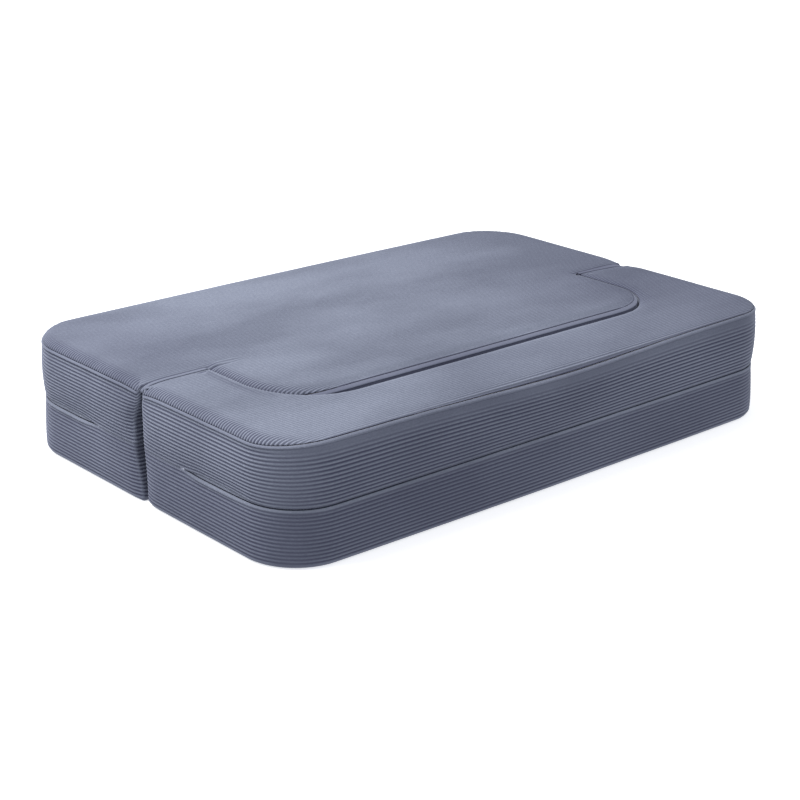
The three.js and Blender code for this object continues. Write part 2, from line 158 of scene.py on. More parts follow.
# Heights of the top seam: on the outer faces, round the tongue and round the opening beside it.
SEAM_LONG = 0.2560
SEAM_SHORT = 0.2440
SEAM_RIGHT_RISE = 0.0075
SEAM_TONGUE = 0.2575
SEAM_TONGUE_LEFT = 0.2400
SEAM_OPENING = 0.2465
SEAM_OPENING_LEFT = 0.2568
SEAM_GAP_RIGHT = 0.2545
FRONT_SAG = 0.0105
SEAM_WAVER = 0.0005
# How far in from the edge the seam lies where it is on top.
SEAM_IN = 0.0035
TONGUE_IN = 0.0105
STATION_STEP = 0.02
LEVEL_STEP = 0.03
# Where the backrest's long outer face begins, how far the hinge faces reach from the hinge line,
# and what counts as beside the gap between the tongue and the opening.
OUTER_FROM = 0.36
HINGE_ZONE = 0.03
CLEAR_OF_HINGE = 0.012
BESIDE_OPENING = OPENING_HALF + 0.03
LEAST_RADIUS = 0.003
LEAST_INNER_RADIUS = 0.012
SEAT_END_RADIUS = 0.009
ARM_END_RADIUS = 0.006
NOTCH_RADIUS = 0.008

# Each corner is (x, y, radius, steps round it), counter-clockwise.
PLANS = {
    "seat": [
        (HALF, DEPTH, 0.129, 18),
        (-HALF, DEPTH, 0.129, 18),
        (-HALF, HINGE_GAP, SEAT_END_RADIUS, 7),
        (-TONGUE_HALF, HINGE_GAP, NOTCH_RADIUS, 5),
        (-TONGUE_HALF, TONGUE_FRONT, 0.155, 20),
        (TONGUE_RIGHT, TONGUE_FRONT, 0.142, 20),
        (TONGUE_RIGHT, HINGE_GAP, NOTCH_RADIUS, 5),
        (HALF, HINGE_GAP, SEAT_END_RADIUS, 7),
    ],
    "backrest": [
        (-HALF, -DEPTH, 0.118, 18),
        (HALF, -DEPTH, 0.118, 18),
        (HALF, -HINGE_GAP, ARM_END_RADIUS, 4),
        (OPENING_HALF, -HINGE_GAP, ARM_END_RADIUS, 4),
        (OPENING_HALF, OPENING_FRONT, 0.152, 20),
        (-OPENING_HALF, OPENING_FRONT, 0.161, 20),
        (-OPENING_HALF, -HINGE_GAP, ARM_END_RADIUS, 4),
        (-HALF, -HINGE_GAP, ARM_END_RADIUS, 4),
    ],
}
ZIP_END = {"seat": 0.160, "backrest": 0.140}
AWAY = {"seat": 1, "backrest": -1}


def round_off(bm, geometry, radius, steps, affect):
    bmesh.ops.bevel(
        bm,
        geom=geometry,
        offset=radius,
        offset_type="OFFSET",
        segments=steps,
        profile=0.5,
        affect=affect,
        material=-1,
    )


def cut_through(bm, place, normal, near=1e-6):
    """Cuts everything in a bmesh where a plane crosses it."""
    geometry = bm.verts[:] + bm.edges[:] + bm.faces[:]
    bmesh.ops.bisect_plane(bm, geom=geometry, dist=near, plane_co=place, plane_no=normal)


def plan_face(prefix, inset=0.0):
    """One flat face in the shape of a cushion's plan, moved in by inset, in a bmesh of its own."""
    plan = PLANS[prefix]
    count = len(plan)
    bm = bmesh.new()
    corners, radii = [], []
    for i, (x, y, radius, _) in enumerate(plan):
        before, after = plan[i - 1], plan[(i + 1) % count]
        a = (np.sign(round(x - before[0], 6)), np.sign(round(y - before[1], 6)))
        b = (np.sign(round(after[0] - x, 6)), np.sign(round(after[1] - y, 6)))
        bend = a[0] * b[1] - a[1] * b[0]
        corners.append(bm.verts.new((x - inset * (a[1] + b[1]), y + inset * (a[0] + b[0]), 0)))
        least = LEAST_INNER_RADIUS if inset else LEAST_RADIUS
        radii.append(max(radius - bend * inset, least))
    face = bm.faces.new(corners)
    for corner, radius, (*_, steps) in zip(corners, radii, plan):
        round_off(bm, [corner], radius, steps, "VERTICES")
    for edge in [e for e in bm.edges if e.calc_length() > 1.5 * STATION_STEP]:
        cuts = int(edge.calc_length() / STATION_STEP)
        bmesh.ops.subdivide_edges(bm, edges=[edge], cuts=cuts)
    bm.faces.ensure_lookup_table()
    return bm, bm.faces[0]


def smooth_step(low, high, value):
    share = np.clip((value - low) / (high - low), 0, 1)
    return share * share * (3 - 2 * share)


def outline(prefix, inset=0.0):
    """Stations round a plan that is moved in by inset, each with its place and outward normal."""
    bm, face = plan_face(prefix, inset)
    at = np.array([v.co[:2] for v in face.verts])
    bm.free()
    edges = np.roll(at, -1, 0) - at
    outward = np.stack([edges[:, 1], -edges[:, 0]], 1) / np.hypot(*edges.T)[:, None]
    normal = outward + np.roll(outward, 1, 0)
    return {"at": at, "normal": normal / np.hypot(*normal.T)[:, None]}


def rim_of(prefix):
    """A plan's outline with the puff of the side at each station and the gape of the zip."""
    rim = outline(prefix)
    at, normal = rim["at"], rim["normal"]
    x, y = at.T
    if prefix == "seat":
        outer = y > HINGE_GAP + SEAT_END_RADIUS - 1e-4
    else:
        at_end = (np.abs(x) > HALF - 0.001) & (y < -HINGE_GAP - ARM_END_RADIUS)
        outer = (y < -OUTER_FROM) | at_end
    facing_gap = ~outer & (np.abs(y) > HINGE_ZONE)
    rounder = 1.0 if prefix == "seat" else 0.1
    puff = np.where(facing_gap, 0.1 + rounder * normal[:, 1] ** 2, 0.0)
    puff = np.where(outer, smooth_step(0.0, 0.03, np.abs(y) - 0.008), puff)
    past_tack = np.where(outer, np.abs(y) - ZIP_END[prefix], 0)
    gape = smooth_step(0.002, 0.07, past_tack) * (1 - 0.62 * smooth_step(0.15, 0.26, past_tack))
    return rim | {"puff": puff, "gape": gape, "outer": outer, "facing_gap": facing_gap}


RIMS = {prefix: rim_of(prefix) for prefix in PLANS}


def wander(points, size, seed):
    """Smooth noise from -1 to 1 at each point, with features about as large as size."""
    offset = Vector((seed * 7.3, seed * 3.1, seed * 5.7))
    return np.array([noise.noise(Vector(p) / size + offset) for p in points])


def beside_gap(prefix, places, normal):
    """Whether each place is nearest to the gap between the tongue and the opening."""
    x, y = places[:, :2].T
    inward = (normal * places[:, :2]).sum(1) < 0 if prefix == "backrest" else y < 0
    return inward & (np.abs(y) > CLEAR_OF_HINGE) & (np.abs(x) < BESIDE_OPENING)


def seam_height(prefix, places, normal):
    """Height of the top seam round a plan, a little uneven as hand-guided sewing is."""
    x, y = places[:, :2].T
    flat = np.stack([x, y, np.zeros(len(x))], 1)
    at_gap = beside_gap(prefix, places, normal)
    inner_long = SEAM_TONGUE if prefix == "seat" else SEAM_OPENING
    inner_left = SEAM_TONGUE_LEFT if prefix == "seat" else SEAM_OPENING_LEFT
    outer_short = SEAM_SHORT + SEAM_RIGHT_RISE * smooth_step(0.3, 0.7, x)
    sag = FRONT_SAG * np.exp(-(((x - 0.02) / 0.28) ** 2)) * (prefix == "backrest")
    long = np.where(at_gap, inner_long, SEAM_LONG - sag * (y < -0.3))
    short = np.where(at_gap, np.where(x < 0, inner_left, SEAM_GAP_RIGHT), outer_short)
    round_corner = at_gap & (x < 0) & (prefix == "seat")
    share = np.where(round_corner, 1 - normal[:, 1] ** 4, normal[:, 0] ** 2)
    return long + (short - long) * share + SEAM_WAVER * wander(flat, 0.07, 3)


def on_top_share(prefix, places, normal):
    """How far the top seam lies on top and not at the edge, from 0 to 1. It is on top along the
    long faces and the tongue's front."""
    on_top = normal[:, 1] * AWAY[prefix] > 0
    if prefix == "seat":
        on_top |= places[:, 1] < -HINGE_ZONE
    return np.where(on_top, normal[:, 1] ** 2, 0.0)


def set_in(prefix, places, normal):
    """How far in from the edge the top seam lies."""
    depth = np.where((prefix == "seat") & (places[:, 1] < 0), TONGUE_IN, SEAM_IN)
    return depth * on_top_share(prefix, places, normal)


def nearest_on_rim(points, rim):
    """Distance of each point to a plan's outline, and the outward normal where it is nearest."""
    start = rim["at"]
    along = np.roll(start, -1, 0) - start
    squared = (along**2).sum(1)
    next_normal = np.roll(rim["normal"], -1, 0)
    distance = np.empty(len(points))
    normal = np.empty((len(points), 2))
    for low in range(0, len(points), 4000):
        part = points[low : low + 4000, None, :]
        share = np.clip(((part - start) * along).sum(2) / squared, 0, 1)
        gaps = np.hypot(*(part - start - share[..., None] * along).transpose(2, 0, 1))
        best = gaps.argmin(1)
        rows = np.arange(len(best))
        distance[low : low + 4000] = gaps[rows, best]
        mix = share[rows, best][:, None]
        normal[low : low + 4000] = rim["normal"][best] * (1 - mix) + next_normal[best] * mix
    return distance, normal / np.hypot(*normal.T)[:, None]


def block(prefix, inset, low, high, rounding):
    """A cushion's plan, moved in by inset and drawn up from low to high, with its edges rounded."""
    bm, face = plan_face(prefix, inset)
    made = bmesh.ops.extrude_face_region(bm, geom=[face])["geom"]
    bmesh.ops.translate(bm, verts=bm.verts, vec=(0, 0, low))
    raised = [g for g in made if isinstance(g, bmesh.types.BMVert)]
    bmesh.ops.translate(bm, verts=raised, vec=(0, 0, high - low))
    level = [e for e in bm.edges if abs(e.verts[0].co.z - e.verts[1].co.z) < 1e-6]
    round_off(bm, level, rounding, 3, "EDGES")
    for height in np.arange(low + 0.02, high - 0.01, LEVEL_STEP):
        cut_through(bm, (0, 0, height), (0, 0, 1))
    return bm


# Stuffing
# A cloth simulation presses each cover out from inside, held along the seams, the zip and the
# hinge faces, so the sides fill out unevenly between them and the top is fullest far from the
# rim. How far each place moves is capped and then passed on to the ribbed pieces.
CLOTH_PRESSURE = 4.0
CLOTH_FRAMES = 20
CLOTH_STEP = 0.025
CLOTH_LEVELS = (0.012, 0.035, 0.06, 0.085, 0.105, ZIP, 0.138, 0.158, 0.18, 0.205, 0.228)
CLOTH_STRETCH = 40
CLOTH_SHEAR = 20
CLOTH_BEND = 1.0
HELD_RIM = 0.009
HELD_TOP = 0.24
HELD_FOOT = 0.008
HELD_HINGE = 0.02
ARM_MIDDLE = 0.62
MOST_WALL = 0.0035
MOST_DIP = 0.0006
NEAREST = 9


def cloth_cage(prefix):
    bm = block(prefix, 0.0, 0.0012, CROWN, 0.006)
    cuts = [((x, 0, 0), (1, 0, 0)) for x in np.arange(-HALF + 0.02, HALF, CLOTH_STEP)]
    cuts += [((0, y, 0), (0, 1, 0)) for y in np.arange(-DEPTH + 0.02, DEPTH, CLOTH_STEP)]
    cuts += [((0, 0, z), (0, 0, 1)) for z in CLOTH_LEVELS]
    for place, normal in cuts:
        cut_through(bm, place, normal, 1e-4)
    bmesh.ops.remove_doubles(bm, verts=bm.verts, dist=0.004)
    bmesh.ops.recalc_face_normals(bm, faces=bm.faces)
    return object_from(bm, f"{prefix}_cage")


def stuffing(prefix):
    """Places on a cushion's skin, and how far the stuffing moves each of them."""
    cage = cloth_cage(prefix)
    start = np.array([v.co for v in cage.data.vertices])
    x, y, z = start.T
    distance, _ = nearest_on_rim(start[:, :2], RIMS[prefix])
    if prefix == "seat":
        outer = y > HELD_HINGE
    else:
        outer = (y < -OUTER_FROM) | ((np.abs(x) > ARM_MIDDLE) & (y < -HELD_HINGE))
    at_rim = distance < HELD_RIM
    at_zip = outer & (np.abs(z - ZIP) < 0.002) & (np.abs(y) > ZIP_END[prefix])
    held = at_zip | (z < HELD_FOOT) | (at_rim & ((z > HELD_TOP) | (np.abs(y) < HELD_HINGE)))
    group = cage.vertex_groups.new(name="held")
    group.add([int(k) for k in np.flatnonzero(held)], 1.0, "REPLACE")
    cloth = cage.modifiers.new("cloth", "CLOTH")
    cloth.settings.vertex_group_mass = "held"
    cloth.settings.use_pressure = True
    cloth.settings.uniform_pressure_force = CLOTH_PRESSURE
    cloth.settings.effector_weights.gravity = 0.0
    cloth.settings.tension_stiffness = CLOTH_STRETCH
    cloth.settings.compression_stiffness = CLOTH_STRETCH
    cloth.settings.shear_stiffness = CLOTH_SHEAR
    cloth.settings.bending_stiffness = CLOTH_BEND
    cloth.point_cache.frame_start = 1
    cloth.point_cache.frame_end = CLOTH_FRAMES
    for count in range(1, CLOTH_FRAMES + 1):
        bpy.context.scene.frame_set(count)
    blown = cage.evaluated_get(bpy.context.evaluated_depsgraph_get())
    moved = np.array([v.co for v in blown.data.vertices]) - start
    bpy.context.scene.frame_set(1)
    bpy.data.objects.remove(cage)

    length = np.linalg.norm(moved, axis=1)
    limit = MOST_WALL * np.where(outer, 1.0, 0.2)
    capped = moved * (limit * np.tanh(length / limit) / np.maximum(length, 1e-9))[:, None]
    on_top = z > CROWN - 0.0005
    rise = np.where(on_top, moved[:, 2], 0)
    capped[:, 2] = np.where(on_top, MOST_DIP * (rise / rise.max() - 1), 0)
    capped[on_top, :2] = 0
    capped[z < HELD_FOOT] = 0
    tree = KDTree(len(start))
    for k, place in enumerate(start):
        tree.insert(place, k)
    tree.balance()
    return tree, capped


STUFFING = {prefix: stuffing(prefix) for prefix in PLANS}


def stuffed(prefix, points):
    """How far the stuffing moves each point: the mean of the nearest places of the skin."""
    moved = np.zeros((len(points), 3))
    if prefix not in STUFFING:
        return moved
    tree, capped = STUFFING[prefix]
    for k, point in enumerate(points):
        near = tree.find_n(point, NEAREST)
        reach = 1.15 * near[-1][2] + 1e-9
        weights = [(1 - (found[2] / reach) ** 2) ** 2 for found in near]
        total = sum(weights)
        for weight, found in zip(weights, near):
            moved[k] += capped[found[1]] * (weight / total)
    return moved


# Shape of the stuffed cushions
# The long faces bow out, the seat's ends are drawn in below the hinge strips, the arms' ends lean
# out towards them, and the arms' bottom corners are soft. A reach is how far each change goes on.
DRAWN_IN = 0.022
DRAWN_REACH = 0.115
LEAN = 0.0045
TOE = 0.003
LEAN_REACH = 0.075
BOTTOM_LIFT = 0.004
BOTTOM_REACH = 0.05
END_DIP = 0.007
DIP_REACH = 0.07
RIGHT_OPEN = 0.011
OPEN_REACH = 0.13


def right_opening(x):
    """How far the right arm's end is drawn away from the hinge line, at a distance along it."""
    return RIGHT_OPEN * smooth_step(OPENING_HALF, HALF - 0.02, x)


def shaped(prefix, points):
    """Where the points of a plain block lie on the stuffed cushion."""
    x, y, z = points.T
    middle = np.maximum(0, 1 - (x / HALF) ** 2)
    moved = points + stuffed(prefix, points)
    moved[:, 1] += np.sign(y) * BOW * middle * (y / DEPTH) ** 2
    from_end = np.hypot(HALF - np.abs(x), y)
    dip = END_DIP * np.maximum(0, 1 - from_end / DIP_REACH) ** 2
    moved[:, 2] -= dip * smooth_step(0.20, 0.25, z)
    from_hinge = np.maximum(0, np.abs(y) - HINGE_GAP)
    if prefix == "seat":
        near = 1 - smooth_step(0.0, DRAWN_REACH, from_hinge)
        wide = smooth_step(TONGUE_HALF + 0.012, TONGUE_HALF + 0.06, np.abs(x))
        hollow = 1 - smooth_step(0.165, 0.240, z) - (1 - smooth_step(0.0, 0.12, z))
        moved[:, 1] += DRAWN_IN * near * wide * hollow
    else:
        near = 1 - smooth_step(0.0, LEAN_REACH, from_hinge)
        upper = smooth_step(0.08, 0.15, z) * (1 - smooth_step(0.215, 0.242, z))
        lower = 1 - smooth_step(0.03, 0.11, z)
        moved[:, 1] += near * (LEAN * upper - TOE * lower)
        moved[:, 1] -= right_opening(x) * (1 - smooth_step(0.0, OPEN_REACH, from_hinge))
        corner = np.maximum(0, 1 - from_hinge / BOTTOM_REACH)
        corner *= smooth_step(0.60, 0.70, np.abs(x))
        moved[:, 2] += BOTTOM_LIFT * corner**2 * np.maximum(0, 1 - z / 0.055) ** 2
    return moved


def lay_cloth(prefix, bm, places, dark):
    """Lays cloth over a stuffed cushion, and notes at each point how much painted shade it has."""
    # Painted shade, from 0 to 1: how far the velvet's colour is darkened towards shade at each
    # point.
    painted_shade = bm.verts.layers.float.new("painted_shade")
    for vert, place, tone in zip(bm.verts, shaped(prefix, places), dark):
        vert.co = place
        vert[painted_shade] = tone


def close_up(bm):
    """Merges what meets, closes open ends and turns every face outwards."""
    bmesh.ops.remove_doubles(bm, verts=bm.verts, dist=1e-6)
    bmesh.ops.holes_fill(bm, edges=[e for e in bm.edges if e.is_boundary], sides=0)
    bmesh.ops.recalc_face_normals(bm, faces=bm.faces)


# Ribbed velvet
# Cut pile on a knitted back, with a soft rounded rib every 7.7 mm and a groove between two ribs.
# The pile is brushed, so broad patches of it lie lighter or darker. Shade is painted into the
# velvet's colour as well, by an attribute that each piece carries.
RIB = 0.0077
RIB_DEPTH = 0.0019
RIB_ROWS = (0.0, 0.12, 0.25, 0.38, 0.5, 0.62, 0.75, 0.88)
VELVET_LIGHT = (0.265, 0.289, 0.355)
VELVET_DARK = (0.187, 0.205, 0.257)
# The colour that painted shade darkens the velvet towards.
PAINTED_SHADE_COLOUR = (0.052, 0.054, 0.094)
VELVET_SHEEN = (0.80, 0.84, 1.0, 1)
PATCH_SIZE = 4.2
FIBRE_SIZE = 700.0
# Each patch of painted shade, where the light on top falls off: how dark, the middle of it in x
# and y, and its two half widths.
FALLOFF_PATCHES = (
    (0.28, -0.62, 0.25, 0.22, 0.25),
    (0.32, 0.66, -0.20, 0.22, 0.30),
    (0.12, 0.40, -0.10, 0.18, 0.16),
    (0.14, 0.05, -0.38, 0.30, 0.10),
)


def rib_depth(phase):
    """How deep the cloth lies below the top of a rib, from 0 on it to 1 in a groove."""
    return (0.5 + 0.5 * np.cos(2 * np.pi * phase)) ** 0.9


def pattern(material, kind, scale, stretch=(1, 1, 1)):
    """A texture on a piece's own coordinates. stretch is how finely it runs along X, Y and Z."""
    nodes, links = material.node_tree.nodes, material.node_tree.links
    place = nodes.new("ShaderNodeTexCoord")
    mapping = nodes.new("ShaderNodeMapping")
    mapping.inputs["Scale"].default_value = stretch
    texture = nodes.new(f"ShaderNodeTex{kind}")
    texture.inputs["Scale"].default_value = scale
    links.new(place.outputs["Object"], mapping.inputs["Vector"])
    links.new(mapping.outputs["Vector"], texture.inputs["Vector"])
    return texture


def roughen(material, height, strength, distance):
    """Raises a material's surface by a pattern, on top of what raises it already."""
    nodes, links = material.node_tree.nodes, material.node_tree.links
    normal = nodes["Principled BSDF"].inputs["Normal"]
    bump = nodes.new("ShaderNodeBump")
    bump.inputs["Strength"].default_value = strength
    bump.inputs["Distance"].default_value = distance
    links.new(height, bump.inputs["Height"])
    for link in list(normal.links):
        links.new(link.from_socket, bump.inputs["Normal"])
    links.new(bump.outputs["Normal"], normal)


def mixed(material, share, first, second):
    """Two colours mixed by a share. Each of the three is a value or the output of a node."""
    mix = material.node_tree.nodes.new("ShaderNodeMix")
    mix.data_type = "RGBA"
    for name, value in (("Factor", share), ("A", first), ("B", second)):
        if isinstance(value, bpy.types.NodeSocket):
            material.node_tree.links.new(value, mix.inputs[name])
        else:
            mix.inputs[name].default_value = value
    return mix


def ribbed_velvet(name, stretch, cross_ribs=False):
    """The pile is as fine along X, Y and Z as stretch says. The flaps have fine cross ribs."""
    material = make_material(name, VELVET_LIGHT, 0.85)
    nodes, links = material.node_tree.nodes, material.node_tree.links
    shader = nodes["Principled BSDF"]
    shader.inputs["Sheen Weight"].default_value = 0.35
    shader.inputs["Sheen Roughness"].default_value = 0.45
    shader.inputs["Sheen Tint"].default_value = VELVET_SHEEN
    shader.inputs["Specular IOR Level"].default_value = 0.15
    clouds = pattern(material, "Noise", PATCH_SIZE, (0.5, 1, 1))
    clouds.inputs["Detail"].default_value = 5.0
    patches = nodes.new("ShaderNodeValToRGB")
    patches.color_ramp.elements[0].position = 0.37
    patches.color_ramp.elements[0].color = (*VELVET_DARK, 1)
    patches.color_ramp.elements[1].position = 0.62
    patches.color_ramp.elements[1].color = (*VELVET_LIGHT, 1)
    links.new(clouds.outputs["Fac"], patches.inputs["Fac"])

    pile = pattern(material, "Noise", FIBRE_SIZE, stretch)
    pile.inputs["Detail"].default_value = 2.0
    fibres = mixed(material, 0.45, patches.outputs["Color"], pile.outputs["Fac"])
    fibres.blend_type = "SOFT_LIGHT"
    # Painted shade: the colour is mixed towards a shade colour by the attribute that each piece
    # carries.
    painted_shade = nodes.new("ShaderNodeAttribute")
    painted_shade.attribute_name = "painted_shade"
    shade = mixed(material, painted_shade.outputs["Fac"], fibres.outputs["Result"], (*PAINTED_SHADE_COLOUR, 1))
    links.new(shade.outputs["Result"], shader.inputs["Base Color"])
    roughen(material, pile.outputs["Fac"], 0.3, 0.0006)
    if cross_ribs:
        run = nodes.new("ShaderNodeAttribute")
        run.attribute_name = "run"
        wave = nodes.new("ShaderNodeMath")
        wave.operation = "SINE"
        links.new(run.outputs["Fac"], wave.inputs[0])
        roughen(material, wave.outputs["Value"], 0.8, 0.0004)
    return material


VELVET_TOP = ribbed_velvet("ribbed_velvet_panel", (0.25, 1, 1))
VELVET_SIDE = ribbed_velvet("ribbed_velvet_band", (0.3, 0.3, 1))
VELVET_FLAP = ribbed_velvet("velvet_zip_flap", (0.5, 0.5, 1), cross_ribs=True)


def falloff_shade(x, y):
    """Painted shade at each place on top, in broad patches where the light falls off."""
    dark = np.zeros(len(x))
    for strength, at_x, at_y, wide, deep in FALLOFF_PATCHES:
        dark += strength * np.exp(-(((x - at_x) / wide) ** 2) - ((y - at_y) / deep) ** 2)
    return dark


def dress(obj, prefix, part):
    """Puts a finished piece in the place of its CAD node, riding on its cushion."""
    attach(obj, f"{prefix}_cushion")
    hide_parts(f"{prefix}_{part}")


# Top panels
# One cut of velvet lies over each cushion with its ribs along the bed. It rolls over the rim to
# a seam that lies on top along the long faces and further down on the short ones.
ROLL = 0.031
COVER = 0.0025
HEM = 0.012
HEM_RISE = 0.72
SAG = 0.0009
RIM_INSETS = (0.0004, 0.0006, 0.0008, 0.0010, 0.0012, 0.0014)
COLUMN_STEP = 0.03
COLUMNS_FROM_EDGE = (0.0075, 0.0095, 0.012, 0.015, 0.0185, 0.023, 0.029, 0.038)
# The ends that the ribs run over, and which way from each of them the cloth lies.
ROLLED_ENDS = {
    "seat": ((HALF, -1), (TONGUE_HALF, -1)),
    "backrest": ((HALF, -1), (OPENING_HALF, 1)),
}
CREASE_LENGTH = 0.088
CREASE_HEIGHT = 0.0026
# Painted shade along the seams: how dark, and how far in it reaches on top, on the hinge faces and
# more at right.
SEWN_SHADE = 0.9
SEWN_WIDE = 0.0020
SEWN_HINGE = {"seat": 0.0040, "backrest": 0.0050}
SEWN_RIGHT = 0.0025


def crown_share(distance):
    """Share of the rise from seam to crown at a distance in from the seam."""
    left = np.maximum(0, 1 - distance / ROLL)
    return np.maximum(0, 1 - left**2.4) ** 0.55


def cut_rows(bm, low, high, rows):
    """Cuts the flat cloth along its ribs, from low to high."""
    waiting = list(bm.faces)
    first, last = int(low / RIB) - 1, int(high / RIB) + 1
    for y in [(count + share) * RIB for count in range(first, last) for share in rows]:
        if not low + 1e-5 < y < high - 1e-5:
            continue
        geometry = waiting + list({e for f in waiting for e in f.edges})
        geometry += list({v for f in waiting for v in f.verts})
        cut = bmesh.ops.bisect_plane(
            bm, geom=geometry, dist=1e-6, plane_co=(0, y, 0), plane_no=(0, 1, 0)
        )
        faces = [g for g in cut["geom"] if isinstance(g, bmesh.types.BMFace)]
        waiting = [f for f in faces if f.calc_center_median().y > y]


def flat_cut(prefix, insets, columns, rows, inset=0.0):
    """A cushion's plan as flat cloth, cut round the rim, across in columns and along its ribs."""
    bm, inner = plan_face(prefix, inset)
    for step in insets:
        bmesh.ops.inset_region(
            bm, faces=[inner], thickness=step, use_even_offset=True, use_boundary=True
        )
    for x in sorted(columns):
        cut_through(bm, (x, 0, 0), (1, 0, 0))
    ys = [y for _, y, *_ in PLANS[prefix]]
    cut_rows(bm, min(ys), max(ys), rows)
    return bm


def notch_crease(x, y):
    """Height of the fold that the left hinge strip pulls into the seat's panel."""
    along = (x + TONGUE_HALF) / CREASE_LENGTH
    middle = HINGE_GAP + 0.001 + 0.006 * along
    fade = np.sin(np.pi * np.clip(0.12 + 0.88 * along, 0, 1)) * (along > -0.14)
    ridge = np.exp(-(((y - middle) / 0.0050) ** 2))
    trough = np.exp(-(((y - middle + 0.0105) / 0.0055) ** 2))
    return CREASE_HEIGHT * fade * (ridge - trough)


def panel_cloth(prefix):
    """A top panel as flat cloth, with a hem of two turns round it. The layer hem counts them."""
    columns = {round(x * COLUMN_STEP, 4) for x in range(-23, 24)}
    for end, way in ROLLED_ENDS[prefix]:
        for gap in COLUMNS_FROM_EDGE:
            columns |= {end + way * gap, -end - way * gap}
    bm = flat_cut(prefix, RIM_INSETS, columns, RIB_ROWS)
    hem = bm.verts.layers.int.new("hem")
    edge_loop = [e for e in bm.edges if e.is_boundary]
    for turn_in in (1, 2):
        made = bmesh.ops.extrude_edge_only(bm, edges=edge_loop)["geom"]
        for vert in [g for g in made if isinstance(g, bmesh.types.BMVert)]:
            vert[hem] = turn_in
        edge_loop = [g for g in made if isinstance(g, bmesh.types.BMEdge) and g.is_boundary]
    lining = bmesh.ops.holes_fill(bm, edges=edge_loop, sides=0)["faces"]
    bmesh.ops.triangulate(bm, faces=lining)
    return bm, hem


def panel_tone(prefix, flat, distance, normal):
    """Painted shade on a top panel at each point: in its rib grooves, along its seams, beside the
    gap, and in broad patches where the light falls off.
    """
    x, y = flat[:, :2].T
    rolled = (1 - smooth_step(0.012, 0.04, distance)) * normal[:, 0] ** 2
    # Painted shade along the seams, where the cloth dips into them.
    hinge_face = np.abs(y) < HINGE_ZONE
    sewn = np.maximum(on_top_share(prefix, flat, normal), hinge_face * normal[:, 1] ** 2)
    wide = np.where(hinge_face, SEWN_HINGE[prefix] + SEWN_RIGHT * (x > 0), SEWN_WIDE)
    line = SEWN_SHADE * sewn * (1 - smooth_step(0.0006, wide, distance))
    at_gap = beside_gap(prefix, flat, normal)
    # Painted shade in the rib grooves, stronger to the right and where the ribs roll over the ends.
    sharp = 0.42 + 0.33 * smooth_step(-0.1, 0.6, x)
    tone = rib_depth(y / RIB) * (sharp + (1 - sharp) * rolled)
    # Beside the opening on the left, the backrest's rim gets no painted shade in its grooves: a
    # painted highlight.
    if prefix == "backrest":
        bright_rim = at_gap & (x < 0.3)
        tone *= np.where(bright_rim, smooth_step(-0.002, 0.014, distance), 1.0)
    shadow = at_gap * (1 - normal[:, 1] ** 2)
    shadow *= 0.62 * (x < 0) * (prefix == "seat") + 0.55 * (x > 0)
    depth_in = np.where(x < 0, 0.012, 0.005)
    tone = np.maximum(tone, shadow * (1 - smooth_step(0.25, 1.0, distance / depth_in)))
    # Broad patches of painted shade, where the light on top falls off.
    tone += (1 - tone) * falloff_shade(x, y)
    return np.maximum(line, tone)


def top_panel(prefix):
    bm, hem = panel_cloth(prefix)
    flat = np.array([v.co for v in bm.verts])
    folds = np.array([v[hem] for v in bm.verts])
    distance, normal = nearest_on_rim(flat[:, :2], RIMS[prefix])
    seam = seam_height(prefix, flat, normal)
    drawn = set_in(prefix, flat, normal)
    share = crown_share(distance)
    slope = (crown_share(distance + 1e-4) - share) / 1e-4 * (CROWN - seam)
    facing = np.concatenate([normal * slope[:, None], np.ones((len(flat), 1))], 1)
    facing /= np.linalg.norm(facing, axis=1)[:, None]
    depth = rib_depth(flat[:, 1] / RIB)
    sag = SAG * (wander(flat, 0.16, 1) - 0.6) * smooth_step(0.01, 0.09, distance)
    placed = flat.copy()
    inward = drawn * (1 - smooth_step(0.0, 0.05, distance))
    placed[:, :2] -= normal * inward[:, None]
    placed[:, 2] = seam + share * (CROWN - seam) + sag
    if prefix == "seat":
        placed[:, 2] += notch_crease(*flat[:, :2].T) * smooth_step(0.0, 0.006, distance)
    placed -= facing * (RIB_DEPTH * depth)[:, None]

    turned = folds > 0
    inset = (drawn + np.where(folds == 1, COVER, HEM))[turned]
    placed[turned, :2] = flat[turned, :2] - normal[turned] * inset[:, None]
    lift = np.where(folds == 1, 0.0, HEM_RISE * (CROWN - seam) - COVER)[turned]
    placed[turned, 2] = seam[turned] + lift
    lay_cloth(prefix, bm, placed, panel_tone(prefix, flat, distance, normal))
    bmesh.ops.recalc_face_normals(bm, faces=bm.faces)
    panel = object_from(bm, f"{prefix}_top_cover", VELVET_TOP)
    dress(panel, prefix, "top_panel")


for prefix in PLANS:
    top_panel(prefix)


# Side bands
# A strip of the same velvet with level ribs runs round each cushion in two widths, above and
# below the zip. Its top edge makes a thin welt at the seam. At the zip both widths are rolled
# under, and the lower one curls in under the cushion.
CLOSED_LIP = 0.00015
UPPER_LIP = 0.0062
LOWER_LIP = 0.0026
LIP_REACH = 0.03
# How far down from the lower lip its painted highlight reaches before it fades.
LIT_LIP = 0.0035
BASE_SEAM = 0.0012
PUFF = 0.005
PLAIN_LONG = 0.012
PLAIN_SHORT = 0.001
PLAIN_FADE = 0.026
# Painted shade on the bands: on the plain width under the seam, over the lower width, on the welt,
# on the welt beside the opening, on the tongue's band in the gap and at the backrest's near left
# corner.
PLAIN_SHADE = 0.42
LOWER_SHADE = 0.27
WELT_SHADE = 0.30
OPENING_WELT_SHADE = 0.36
GAP_SHADE = 0.62
CORNER_SHADE = 0.24
